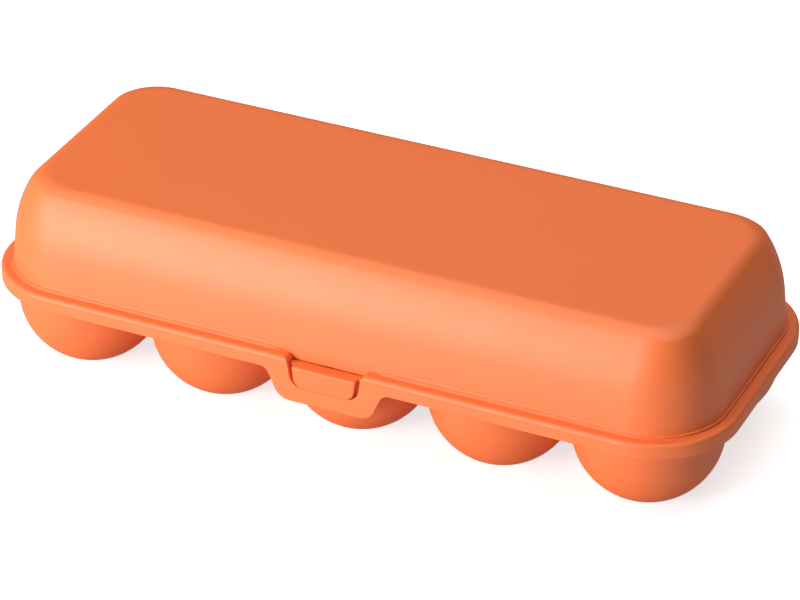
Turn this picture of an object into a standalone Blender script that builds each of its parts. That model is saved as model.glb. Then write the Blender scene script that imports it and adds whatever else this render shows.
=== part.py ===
"""Egg box for ten eggs: a cup tray, a domed lid that hinges at the back, and a sprung latch flap.

Metres, +Z up. X runs along the box, the latch faces -Y and the hinges are at +Y. The box stands on the
flats under its cups at Z = 0, and the origin is under the middle of its overall length and depth.
"""

import math

import bmesh
import bpy
from mathutils import Vector

# Egg cups
CUPS_ALONG = 5
CUPS_ACROSS = 2
CUP_RADIUS = 0.0252
CUP_GAP = 0.0006
CUP_FLAT_RADIUS = 0.006
CUP_NECK_HEIGHT = 0.0086
CUP_NECK_FLARE = 0.0007
CUP_WALL = 0.0015
CUP_LIP_RADIUS = 0.0008
CUP_LIP_POINTS = 3
CUP_SEGMENTS = 24
CUP_BANDS = 5

# Tray deck
DECK_THICKNESS = 0.0018
DECK_EDGE_RADIUS = 0.0004
END_MARGIN = 0.0054
SIDE_MARGIN = 0.0043

# Lid
RIM_CORNER_RADIUS = 0.0294
FLANGE_THICKNESS = 0.0023
FLANGE_WIDTH = 0.0052
FLANGE_EDGE_RADIUS = 0.0013
FLANGE_EDGE_POINTS = 4
SKIRT_HEIGHT = 0.0053
SKIRT_THICKNESS = 0.0016
SKIRT_EDGE_RADIUS = 0.0003
FOOT_STEP_HEIGHT = 0.0009
FOOT_FLARE_RADIUS = 0.003
FOOT_FLARE_DEGREES = 75
FOOT_FLARE_POINTS = 4
LID_RISE = 0.03385
LID_WALL = 0.0016
WALL_STRAIGHT_HEIGHT = 0.00755
TOP_EDGE_RADIUS = 0.006
TOP_CORNER_RADIUS = 0.0178
SHOULDER_LEAN = math.radians(35.0)
CORNER_POINTS = 8
SHOULDER_RINGS = 6
TOP_EDGE_RINGS = 4

# Clearances
SEAT_GAP = 0.0003
SKIRT_GAP = 0.0004
FUSE_DEPTH = 0.0006
CUT_OVERRUN = 0.002
MERGE_DISTANCE = 0.00001

# Latch
CATCH_WIDTH = 0.0232
CATCH_HEIGHT = 0.00745
CATCH_PROUD = 0.0004
CATCH_SIDE_LEAN = math.radians(9.0)
CATCH_CORNER_RADIUS = 0.0034
CATCH_EDGE_RADIUS = 0.0007
CATCH_ROOT = 0.0008
BACKING_THICKNESS = 0.0028
BACKING_OVERLAP = 0.0038
BACKING_DROP = 0.0014
BACKING_CORNER_RADIUS = 0.003
NOTCH_DEPTH = 0.0036
WINDOW_SIDE_GAP = 0.0014
WINDOW_CORNER_RADIUS = 0.0048
WINDOW_LEAD_RADIUS = 0.0024
WINDOW_LEAD_SHARE = 0.96
FLAP_LEG_WIDTH = 0.0061
FLAP_BAR_HEIGHT = 0.0058
FLAP_CORNER_RADIUS = 0.0060
FLAP_FLARE_RADIUS = 0.0036
FLAP_SIDE_LEAN = math.radians(23.0)
FLAP_EDGE_RADIUS = 0.0003
ARC_POINTS = 5

# Hinges
HINGE_REACH = 0.0032
HINGE_RISE = 0.00125
HINGE_PIN_RADIUS = 0.0015
HINGE_HOOK_RADIUS = 0.0029
HINGE_HOOK_WIDTH = 0.0144
HINGE_HOOK_MOUTH = 0.0027
HINGE_MOUTH_DEGREES = 110
HINGE_ARM_DEGREES = 210
HINGE_GUSSET_DEGREES = 100
HINGE_EAR_RADIUS = 0.0028
HINGE_EAR_THICKNESS = 0.0025
HINGE_STATION_PITCHES = 1.5
PIN_SEGMENTS = 16
HOOK_SEGMENTS = 24

# Derived places, measured from the middle of the rim and from the table
PITCH = 2 * CUP_RADIUS + CUP_GAP
CUP_CENTRE_Z = math.sqrt(CUP_RADIUS ** 2 - CUP_FLAT_RADIUS ** 2)
DECK_TOP_Z = CUP_CENTRE_Z + CUP_NECK_HEIGHT
DECK_BOTTOM_Z = DECK_TOP_Z - DECK_THICKNESS
FLANGE_BOTTOM_Z = DECK_TOP_Z + SEAT_GAP
FLANGE_TOP_Z = FLANGE_BOTTOM_Z + FLANGE_THICKNESS
SKIRT_BOTTOM_Z = FLANGE_TOP_Z - SKIRT_HEIGHT
LID_TOP_Z = FLANGE_TOP_Z + LID_RISE
RIM_HALF_LENGTH = (CUPS_ALONG - 1) / 2 * PITCH + CUP_RADIUS + END_MARGIN
RIM_HALF_DEPTH = (CUPS_ACROSS - 1) / 2 * PITCH + CUP_RADIUS + SIDE_MARGIN
HINGE_Y = RIM_HALF_DEPTH + HINGE_REACH
HINGE_Z = DECK_TOP_Z + HINGE_RISE
HINGE_X = HINGE_STATION_PITCHES * PITCH
SKIRT_SWEEP_RADIUS = math.hypot(HINGE_REACH + SKIRT_THICKNESS, HINGE_Z - SKIRT_BOTTOM_Z)
DECK_BACK_Y = HINGE_Y - SKIRT_SWEEP_RADIUS - SEAT_GAP
DECK_INSET = SKIRT_THICKNESS + SKIRT_GAP
CATCH_FRONT_Y = -(RIM_HALF_DEPTH + CATCH_PROUD)
CATCH_BOTTOM_Z = DECK_TOP_Z - CATCH_HEIGHT
WINDOW_HALF_WIDTH = CATCH_WIDTH / 2 + WINDOW_SIDE_GAP
WINDOW_BOTTOM_Z = CATCH_BOTTOM_Z - SEAT_GAP
FLAP_TOP_Z = SKIRT_BOTTOM_Z - SEAT_GAP
FLAP_BOTTOM_Z = WINDOW_BOTTOM_Z - FLAP_BAR_HEIGHT
FLAP_HALF_WIDTH = WINDOW_HALF_WIDTH + FLAP_LEG_WIDTH
HINGE_PLACE = Vector((0.0, HINGE_Y, HINGE_Z))
FLAP_PLACE = Vector((0.0, -RIM_HALF_DEPTH, FLAP_TOP_Z))
CENTRE_Y = -(HINGE_Y + HINGE_HOOK_RADIUS + CATCH_FRONT_Y) / 2

SATIN_ROUGHNESS = 0.42
SMOOTH_ANGLE = math.radians(35.0)
RIM_ANGLE = math.radians(60.0)
ORANGE = (0.83, 0.205, 0.075, 1.0)
ORANGE_DEEP = (0.80, 0.19, 0.068, 1.0)


def clear_scene():
    """Remove every object, mesh and collection that the file opened with."""
    for item in list(bpy.data.objects):
        bpy.data.objects.remove(item, do_unlink=True)
    for group in list(bpy.data.collections):
        bpy.data.collections.remove(group)


def new_collection(name, parent):
    """A new collection inside another."""
    group = bpy.data.collections.new(name)
    parent.children.link(group)
    return group


def plastic(name, colour):
    """Satin moulded plastic."""
    material = bpy.data.materials.new(name)
    material.use_nodes = True
    shader = material.node_tree.nodes["Principled BSDF"]
    shader.inputs["Base Color"].default_value = colour
    shader.inputs["Roughness"].default_value = SATIN_ROUGHNESS
    shader.inputs["Metallic"].default_value = 0.0
    return material


def add_object(name, mesh, group, parent):
    """Link a mesh, or an empty where mesh is None, as an object of a collection."""
    item = bpy.data.objects.new(name, mesh)
    group.objects.link(item)
    item.parent = parent
    return item


def hang(item, pivot, place):
    """Hang a piece that is modelled in the box's frame on a pivot that lies at a place in that frame."""
    item.parent = pivot
    item.location = -place


def finish(item, material):
    """Apply an object's modifiers, shade its round faces smooth and give it its material."""
    graph = bpy.context.evaluated_depsgraph_get()
    mesh = bpy.data.meshes.new_from_object(item.evaluated_get(graph))
    item.modifiers.clear()
    item.data = mesh
    mesh.shade_smooth()
    mesh.set_sharp_from_angle(angle=SMOOTH_ANGLE)
    mesh.materials.clear()
    mesh.materials.append(material)


def as_tool(item):
    """Mark an object as a guide that only shapes others."""
    item.hide_render = True
    item.display_type = "WIRE"


def arc(centre, radius, start, end, points):
    """Points along an arc, both ends included; angles in degrees from the first axis."""
    steps = [math.radians(start + (end - start) * k / (points - 1)) for k in range(points)]
    return [(centre[0] + radius * math.cos(a), centre[1] + radius * math.sin(a)) for a in steps]


def rounded_rectangle(x_low, x_high, y_low, y_high, radius, points=CORNER_POINTS):
    """Outline of a rectangle with round corners, counter-clockwise from the +X +Y corner."""
    corners = (
        (x_high - radius, y_high - radius, 0),
        (x_low + radius, y_high - radius, 90),
        (x_low + radius, y_low + radius, 180),
        (x_high - radius, y_low + radius, 270),
    )
    outline = []
    for x, y, start in corners:
        outline += arc((x, y), radius, start, start + 90, points)
    return outline


def mesh_from(name, vertices, faces):
    """A mesh with its normals made to point outwards."""
    mesh = bpy.data.meshes.new(name)
    mesh.from_pydata(vertices, [], faces)
    body = bmesh.new()
    body.from_mesh(mesh)
    bmesh.ops.recalc_face_normals(body, faces=body.faces)
    body.to_mesh(mesh)
    body.free()
    return mesh


def prism(name, outline, axis, low, high, edge_radius, group, parent):
    """Thicken a flat outline along an axis from low to high, with its end rims rounded.

    The outline lies in the plane of the two other axes, in X, Y, Z order.
    """
    others = [k for k in range(3) if k != axis]
    vertices = []
    for first, second in outline:
        point = [0.0, 0.0, 0.0]
        point[axis] = (low + high) / 2
        point[others[0]] = first
        point[others[1]] = second
        vertices.append(point)
    item = add_object(name, mesh_from(name, vertices, [tuple(range(len(outline)))]), group, parent)
    body = item.modifiers.new("thickness", "SOLIDIFY")
    body.thickness = high - low
    body.offset = 0.0
    if edge_radius:
        bevel = item.modifiers.new("rims", "BEVEL")
        bevel.width = edge_radius
        bevel.segments = 2
        bevel.limit_method = "ANGLE"
        bevel.angle_limit = RIM_ANGLE
    return item


def turned(name, profile, segments, location, group, parent):
    """Revolve a profile of (radius, height) points, listed top to bottom, about Z."""
    mesh = bpy.data.meshes.new(name)
    vertices = [(radius, 0.0, height) for radius, height in profile]
    mesh.from_pydata(vertices, [(k, k + 1) for k in range(len(vertices) - 1)], [])
    item = add_object(name, mesh, group, parent)
    item.location = location
    screw = item.modifiers.new("turn", "SCREW")
    screw.axis = "Z"
    screw.steps = segments
    screw.render_steps = segments
    screw.use_merge_vertices = True
    screw.merge_threshold = MERGE_DISTANCE
    return item


def boolean(item, operation, tool):
    """Join or cut an object with another object or with a collection of them."""
    modifier = item.modifiers.new(operation.lower() + " " + tool.name, "BOOLEAN")
    modifier.operation = operation
    modifier.solver = "EXACT"
    if isinstance(tool, bpy.types.Collection):
        modifier.operand_type = "COLLECTION"
        modifier.collection = tool
    else:
        modifier.object = tool


def cup_places():
    """Number and centre of each cup, measured from the middle of the rim."""
    for row in range(CUPS_ACROSS):
        for column in range(CUPS_ALONG):
            x = (column - (CUPS_ALONG - 1) / 2) * PITCH
            y = (row - (CUPS_ACROSS - 1) / 2) * PITCH
            number = row * CUPS_ALONG + column + 1
            yield number, Vector((x, y, 0.0))


def bowl_arc(radius, floor_z):
    """Sphere meridian from the cup's widest level down to a flat floor at floor_z."""
    flat = math.sqrt(radius ** 2 - (CUP_CENTRE_Z - floor_z) ** 2)
    lowest = math.degrees(math.asin((floor_z - CUP_CENTRE_Z) / radius))
    points = arc((0.0, CUP_CENTRE_Z), radius, 0, lowest, CUP_BANDS + 1)
    return points[:-1] + [(flat, floor_z), (0.0, floor_z)]


def cup_outside():
    """Outer profile of one cup, from inside the deck down to the flat it stands on."""
    neck_radius = CUP_RADIUS + CUP_NECK_FLARE
    top_z = DECK_TOP_Z - DECK_THICKNESS / 2
    return [(0.0, top_z), (neck_radius, top_z), (neck_radius, DECK_BOTTOM_Z)] + bowl_arc(CUP_RADIUS, 0.0)


def cup_inside():
    """Inner profile of one cup, from above the deck over the rounded lip down to its floor."""
    mouth_radius = CUP_RADIUS + CUP_NECK_FLARE - CUP_WALL
    lip_centre = (mouth_radius + CUP_LIP_RADIUS, DECK_TOP_Z - CUP_LIP_RADIUS)
    lip = arc(lip_centre, CUP_LIP_RADIUS, 90, 180, CUP_LIP_POINTS)
    over_z = DECK_TOP_Z + CUT_OVERRUN
    above = [(0.0, over_z), (mouth_radius + CUP_LIP_RADIUS, over_z)]
    return above + lip + bowl_arc(CUP_RADIUS - CUP_WALL, CUP_WALL)


def deck(group, parent):
    """Flat deck that joins the cups, set in from the skirt and clear of its swing at the hinges."""
    x = RIM_HALF_LENGTH - DECK_INSET
    front = RIM_HALF_DEPTH - DECK_INSET
    outline = rounded_rectangle(-x, x, -front, DECK_BACK_Y, RIM_CORNER_RADIUS - DECK_INSET)
    return prism("base_tray", outline, 2, DECK_BOTTOM_Z, DECK_TOP_Z, DECK_EDGE_RADIUS, group, parent)


def leaning_side(half_width, z):
    """Half width, at a height, of an outline that narrows downwards from the deck's top."""
    return half_width - (DECK_TOP_Z - z) * math.tan(CATCH_SIDE_LEAN)


def leaning_corner(half_width, bottom_z, radius):
    """Lower right corner arc between a level edge and a side that leans in towards it."""
    centre_z = bottom_z + radius
    centre_x = leaning_side(half_width, centre_z) - radius / math.cos(CATCH_SIDE_LEAN)
    last = 360 - math.degrees(CATCH_SIDE_LEAN)
    return arc((centre_x, centre_z), radius, 270, last, ARC_POINTS)


def mirrored(right):
    """Closed outline from its right half, which runs upwards."""
    return right + [(-x, z) for x, z in right[::-1]]


def catch_tab(group, parent):
    """Tab that stands out from the backing, level with the deck, and fills the latch window."""
    half = CATCH_WIDTH / 2
    outline = mirrored(leaning_corner(half, CATCH_BOTTOM_Z, CATCH_CORNER_RADIUS) + [(half, DECK_TOP_Z)])
    back_y = -(RIM_HALF_DEPTH - DECK_INSET - CATCH_ROOT - CATCH_EDGE_RADIUS)
    return prism("catch_tab", outline, 1, CATCH_FRONT_Y, back_y, CATCH_EDGE_RADIUS, group, parent)


def catch_backing(group, parent):
    """Rib under the deck's front edge that carries the tab and closes the window from behind."""
    half = WINDOW_HALF_WIDTH + BACKING_OVERLAP
    low = BACKING_CORNER_RADIUS
    bottom_z = CATCH_BOTTOM_Z - BACKING_DROP
    corner = arc((half - low, bottom_z + low), low, 270, 360, ARC_POINTS)
    outline = mirrored(corner + [(half, DECK_TOP_Z - DECK_THICKNESS / 2)])
    front_y = -(RIM_HALF_DEPTH - DECK_INSET)
    return prism("catch_backing", outline, 1, front_y, front_y + BACKING_THICKNESS, 0.0, group, parent)


def hinge_hook(side, group, parent):
    """Open hook on the tray that holds one lid pin: deck arm, ring and snap mouth."""
    arm_bottom = HINGE_Z - HINGE_HOOK_RADIUS
    arm_top = HINGE_Z + HINGE_HOOK_RADIUS * math.sin(math.radians(HINGE_ARM_DEGREES))
    arm_root = DECK_BACK_Y - FUSE_DEPTH
    bore = HINGE_PIN_RADIUS + SEAT_GAP
    mouth = math.degrees(math.asin(HINGE_HOOK_MOUTH / 2 / bore))
    mouth_outer = math.degrees(math.asin(HINGE_HOOK_MOUTH / 2 / HINGE_HOOK_RADIUS))
    middle = HINGE_MOUTH_DEGREES
    centre = (HINGE_Y, HINGE_Z)
    outline = arc(centre, HINGE_HOOK_RADIUS, -90, middle - mouth_outer, HOOK_SEGMENTS // 2)
    outline += arc(centre, bore, middle - mouth, middle + mouth - 360, HOOK_SEGMENTS)
    outline += arc(centre, HINGE_HOOK_RADIUS, middle + mouth_outer, HINGE_ARM_DEGREES, ARC_POINTS)
    outline += [(arm_root, arm_top), (arm_root, arm_bottom)]
    x = side * HINGE_X
    half = HINGE_HOOK_WIDTH / 2
    return prism("hook", outline, 0, x - half, x + half, 0.0, group, parent)


def build_tray(box_group, tool_group, frame):
    """Cup tray: a deck with ten hollow cups, the front catch on its backing and the two back hooks."""
    joins = new_collection("tray_joins", tool_group)
    cuts = new_collection("tray_cuts", tool_group)
    tray = deck(box_group, frame)
    for number, place in cup_places():
        as_tool(turned(f"cup_body_{number}", cup_outside(), CUP_SEGMENTS, place, joins, frame))
        as_tool(turned(f"cup_bore_{number}", cup_inside(), CUP_SEGMENTS, place, cuts, frame))
    as_tool(catch_tab(joins, frame))
    as_tool(catch_backing(joins, frame))
    for side in (-1, 1):
        as_tool(hinge_hook(side, joins, frame))
    boolean(tray, "UNION", joins)
    boolean(tray, "DIFFERENCE", cuts)
    return tray


def wall_profile(thickness):
    """Rings of the lid's wall from its foot to the flat top, moved inwards by a thickness.

    The wall stands upright, curves in along one large arc to the shoulder's lean, and turns into the top
    along a small arc. A ring is its inset from the rim, its height and its corner radius.
    """
    lean = SHOULDER_LEAN
    start_z = FLANGE_TOP_Z + FOOT_STEP_HEIGHT + WALL_STRAIGHT_HEIGHT
    shoulder_rise = LID_TOP_Z - start_z - TOP_EDGE_RADIUS * (1 - math.sin(lean))
    crown = shoulder_rise / math.sin(lean)
    points = []
    for k in range(SHOULDER_RINGS + 1):
        turn = lean * k / SHOULDER_RINGS
        points.append((FLANGE_WIDTH + crown * (1 - math.cos(turn)), start_z + crown * math.sin(turn), turn))
    shoulder_inset, shoulder_z, _ = points[-1]
    for k in range(1, TOP_EDGE_RINGS + 1):
        turn = lean + (math.pi / 2 - lean) * k / TOP_EDGE_RINGS
        inset = shoulder_inset + TOP_EDGE_RADIUS * (math.cos(lean) - math.cos(turn))
        height = shoulder_z + TOP_EDGE_RADIUS * (math.sin(turn) - math.sin(lean))
        points.append((inset, height, turn))
    rings = []
    foot_radius = RIM_CORNER_RADIUS - FLANGE_WIDTH
    for inset, height, turn in points:
        share = min(1.0, (inset - FLANGE_WIDTH) / (shoulder_inset - FLANGE_WIDTH))
        radius = foot_radius + (TOP_CORNER_RADIUS - foot_radius) * share
        move_in = thickness * math.cos(turn)
        rings.append((inset + move_in, height - thickness * math.sin(turn), radius - move_in))
    return rings


def rim_profile():
    """Flange and skirt rings, from the wall's inside foot round the skirt to its flared outside foot."""
    edge = SKIRT_EDGE_RADIUS
    path = [
        (FLANGE_WIDTH + LID_WALL, FLANGE_BOTTOM_Z),
        (SKIRT_THICKNESS, FLANGE_BOTTOM_Z),
        (SKIRT_THICKNESS, SKIRT_BOTTOM_Z + edge),
        (SKIRT_THICKNESS - edge, SKIRT_BOTTOM_Z),
        (edge, SKIRT_BOTTOM_Z),
        (0.0, SKIRT_BOTTOM_Z + edge),
    ]
    round_z = FLANGE_TOP_Z - FLANGE_EDGE_RADIUS
    edge_arc = arc((0.0, round_z), FLANGE_EDGE_RADIUS, 0, 90, FLANGE_EDGE_POINTS)
    path += [(FLANGE_EDGE_RADIUS - out, z) for out, z in edge_arc]
    flare = FOOT_FLARE_RADIUS
    lowest = flare * math.sin(math.radians(FOOT_FLARE_DEGREES))
    flare_centre = (FLANGE_WIDTH - flare, FLANGE_TOP_Z + FOOT_STEP_HEIGHT + lowest)
    flare_arc = arc(flare_centre, flare, -FOOT_FLARE_DEGREES, 0, FOOT_FLARE_POINTS)
    path += [(flare_arc[0][0], FLANGE_TOP_Z)] + flare_arc
    return [(inset, z, RIM_CORNER_RADIUS - inset) for inset, z in path]


def lid_shell(group, parent):
    """Lid moulding: rounded rectangles lofted down the inside, round the skirt and up the outside."""
    rings = wall_profile(LID_WALL)[::-1] + rim_profile() + wall_profile(0.0)
    vertices = []
    for inset, z, radius in rings:
        x = RIM_HALF_LENGTH - inset
        y = RIM_HALF_DEPTH - inset
        vertices += [(px, py, z) for px, py in rounded_rectangle(-x, x, -y, y, radius)]
    count = 4 * CORNER_POINTS
    faces = [tuple(range(count)), tuple(range(len(vertices) - count, len(vertices)))]
    for ring in range(len(rings) - 1):
        low = ring * count
        for k in range(count):
            step = (k + 1) % count
            faces.append((low + k, low + step, low + count + step, low + count + k))
    return add_object("lid", mesh_from("lid", vertices, faces), group, parent)


def latch_notch(group, parent):
    """Cutter for the latch window's upper part: through the flange's front, with a flared lead-in."""
    lead = WINDOW_LEAD_RADIUS
    lead_z = FLANGE_TOP_Z - lead * WINDOW_LEAD_SHARE
    lead_x = leaning_side(WINDOW_HALF_WIDTH, lead_z) + lead / math.cos(CATCH_SIDE_LEAN)
    low_z = SKIRT_BOTTOM_Z - CUT_OVERRUN
    high_z = FLANGE_TOP_Z + CUT_OVERRUN
    flare = arc((lead_x, lead_z), lead, 180 - math.degrees(CATCH_SIDE_LEAN), 90, ARC_POINTS)
    outline = mirrored([(leaning_side(WINDOW_HALF_WIDTH, low_z), low_z)] + flare + [(lead_x, high_z)])
    front = -(RIM_HALF_DEPTH + CUT_OVERRUN)
    back = -(RIM_HALF_DEPTH - NOTCH_DEPTH)
    return prism("latch_notch", outline, 1, front, back, 0.0, group, parent)


def hinge_notch(side, group, parent):
    """Cutter that lets one hook through the flange and the skirt, between the ears."""
    half = HINGE_HOOK_WIDTH / 2 + SEAT_GAP + FUSE_DEPTH
    x = side * HINGE_X
    near = RIM_HALF_DEPTH - SKIRT_THICKNESS - FUSE_DEPTH
    far = RIM_HALF_DEPTH + CUT_OVERRUN
    low = SKIRT_BOTTOM_Z - CUT_OVERRUN
    high = FLANGE_TOP_Z + CUT_OVERRUN
    outline = [(near, low), (far, low), (far, high), (near, high)]
    return prism("hinge_notch", outline, 0, x - half, x + half, 0.0, group, parent)


def hinge_ear(x_low, group, parent):
    """One ear of the lid: an eye round the hinge axis with a gusset rooted in the flange and the skirt."""
    root = RIM_HALF_DEPTH - SKIRT_THICKNESS / 2
    gusset = RIM_HALF_DEPTH - FLANGE_WIDTH / 2
    middle_z = FLANGE_TOP_Z - FLANGE_THICKNESS / 2
    outline = arc((HINGE_Y, HINGE_Z), HINGE_EAR_RADIUS, -90, HINGE_GUSSET_DEGREES, HOOK_SEGMENTS // 2)
    outline += [(gusset, middle_z), (root, middle_z), (root, HINGE_Z - HINGE_EAR_RADIUS)]
    return prism("ear", outline, 0, x_low, x_low + HINGE_EAR_THICKNESS, 0.0, group, parent)


def hinge_pin(side, group, parent):
    """Pin moulded between two ears, along the hinge axis."""
    length = HINGE_HOOK_WIDTH + 2 * (SEAT_GAP + FUSE_DEPTH)
    last = 360 - 360 / PIN_SEGMENTS
    outline = arc((HINGE_Y, HINGE_Z), HINGE_PIN_RADIUS, 0, last, PIN_SEGMENTS)
    x = side * HINGE_X
    return prism("pin", outline, 0, x - length / 2, x + length / 2, 0.0, group, parent)


def build_lid(box_group, tool_group, frame):
    """Lid: the domed moulding, notched for the catch and the hooks, with its ears and their pins."""
    cuts = new_collection("lid_cuts", tool_group)
    joins = new_collection("lid_joins", tool_group)
    lid = lid_shell(box_group, frame)
    as_tool(latch_notch(cuts, frame))
    for side in (-1, 1):
        as_tool(hinge_notch(side, cuts, frame))
        as_tool(hinge_pin(side, joins, frame))
        inner = HINGE_HOOK_WIDTH / 2 + SEAT_GAP
        as_tool(hinge_ear(side * HINGE_X + inner, joins, frame))
        as_tool(hinge_ear(side * HINGE_X - inner - HINGE_EAR_THICKNESS, joins, frame))
    boolean(lid, "DIFFERENCE", cuts)
    boolean(lid, "UNION", joins)
    return lid


def flap_outline():
    """Outline of the latch flap seen from the front: flared legs, a rounded bar and the open window.

    Each side leans in towards the bar, and rounds meet it tangentially at the skirt and at the bar.
    """
    lean = FLAP_SIDE_LEAN
    flare = FLAP_FLARE_RADIUS
    corner = FLAP_CORNER_RADIUS
    flare_z = SKIRT_BOTTOM_Z - flare
    flare_x = FLAP_HALF_WIDTH + (flare_z - CATCH_BOTTOM_Z) * math.tan(lean) + flare / math.cos(lean)
    corner_z = FLAP_BOTTOM_Z + corner
    corner_x = FLAP_HALF_WIDTH + (corner_z - CATCH_BOTTOM_Z) * math.tan(lean) - corner / math.cos(lean)
    side = math.degrees(lean)
    top = math.degrees(math.asin((FLAP_TOP_Z - flare_z) / flare))
    right = arc((corner_x, corner_z), corner, 270, 360 - side, ARC_POINTS + 2)
    right += arc((flare_x, flare_z), flare, 180 - side, 180 - top, ARC_POINTS)
    right += [(leaning_side(WINDOW_HALF_WIDTH, FLAP_TOP_Z), FLAP_TOP_Z)]
    right += leaning_corner(WINDOW_HALF_WIDTH, WINDOW_BOTTOM_Z, WINDOW_CORNER_RADIUS)[::-1]
    return mirrored(right)


def build_flap(box_group, frame):
    """Sprung U-shaped flap that hangs from the front of the skirt and hooks under the catch."""
    front = -RIM_HALF_DEPTH
    back = front + SKIRT_THICKNESS
    return prism("latch_flap", flap_outline(), 1, front, back, FLAP_EDGE_RADIUS, box_group, frame)


def main():
    """Build the three mouldings, hang them on their pivots and finish them."""
    clear_scene()
    box_group = new_collection("egg_box", bpy.context.scene.collection)
    tool_group = new_collection("cutters", bpy.context.scene.collection)
    frame = add_object("box_frame", None, box_group, None)
    frame.location = (0.0, CENTRE_Y, 0.0)
    lid_pivot = add_object("lid_pivot", None, box_group, frame)
    lid_pivot.location = HINGE_PLACE
    flap_pivot = add_object("flap_pivot", None, box_group, lid_pivot)
    flap_pivot.location = FLAP_PLACE - HINGE_PLACE

    tray = build_tray(box_group, tool_group, frame)
    lid = build_lid(box_group, tool_group, frame)
    flap = build_flap(box_group, frame)
    hang(lid, lid_pivot, HINGE_PLACE)
    hang(flap, flap_pivot, FLAP_PLACE)
    finish(tray, plastic("tray_plastic", ORANGE_DEEP))
    lid_plastic = plastic("lid_plastic", ORANGE)
    finish(lid, lid_plastic)
    finish(flap, lid_plastic)


main()
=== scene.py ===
"""Egg box for ten eggs in satin orange plastic, dressed and lit for its picture.

Metres, +Z up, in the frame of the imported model. Every shape is worked out in the rim's frame, whose origin
lies under the middle of the lid's rim, and moved into the model's frame when its mesh is made. X runs along
the box, the latch faces -Y and the hinges are at +Y.
"""

from __future__ import annotations

import logging
import math
from collections.abc import Callable, Iterator, Sequence
from contextlib import contextmanager
from dataclasses import dataclass, field
from enum import Enum
from typing import NamedTuple

import bmesh
import bpy
import numpy as np
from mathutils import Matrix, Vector
from mathutils.geometry import tessellate_polygon

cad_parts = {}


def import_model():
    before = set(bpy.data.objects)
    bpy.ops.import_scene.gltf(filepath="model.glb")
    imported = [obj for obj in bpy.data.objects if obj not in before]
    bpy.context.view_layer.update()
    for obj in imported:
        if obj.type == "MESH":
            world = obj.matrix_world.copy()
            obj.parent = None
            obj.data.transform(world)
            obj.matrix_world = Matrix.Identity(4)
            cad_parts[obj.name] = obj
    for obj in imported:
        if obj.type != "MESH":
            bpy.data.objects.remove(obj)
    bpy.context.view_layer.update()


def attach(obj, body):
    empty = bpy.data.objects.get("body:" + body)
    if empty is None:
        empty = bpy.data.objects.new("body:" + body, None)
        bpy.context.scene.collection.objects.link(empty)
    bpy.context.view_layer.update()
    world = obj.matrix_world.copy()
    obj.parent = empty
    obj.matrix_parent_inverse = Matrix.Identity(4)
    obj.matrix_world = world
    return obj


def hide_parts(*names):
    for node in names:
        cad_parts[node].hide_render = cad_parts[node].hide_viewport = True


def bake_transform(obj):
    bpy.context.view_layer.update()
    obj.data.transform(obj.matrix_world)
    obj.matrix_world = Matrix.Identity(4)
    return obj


LOG = logging.getLogger("egg_box")

# Points closer together than this are one point.
WELD = 1e-6
# A rim that turns by more than this after a cut is rounded.
RIM_ANGLE = math.radians(50.0)
RIM_SEGMENTS = 3
# An edge that turns by more than this is shaded sharp on the hinges.
CREASE_ANGLE = math.radians(40.0)
# Weight of large faces against small ones in the shading, where 50 is neutral.
LARGE_FACES = 60
# Numbers of a Mix node's two colour inputs and of its colour output, which share their names with others.
MIX_COLOURS = (6, 7)
MIX_RESULT = 2
WHITE = (1.0, 1.0, 1.0, 1.0)


class Body(Enum):
    """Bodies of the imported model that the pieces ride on."""

    TRAY = "base"
    LID = "lid_body"
    LATCH = "latch"


class Slot(Enum):
    """Names of the material slots."""

    TRAY = "tray_plastic"
    LID = "lid_plastic"


class Axis(Enum):
    """Axis along which a plate has its thickness."""

    X = 0
    Y = 1


class Cut(Enum):
    """What stays of a piece that is cut: what lies outside the cutters, or what lies in them."""

    OUTSIDE = "DIFFERENCE"
    INSIDE = "INTERSECT"


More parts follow.
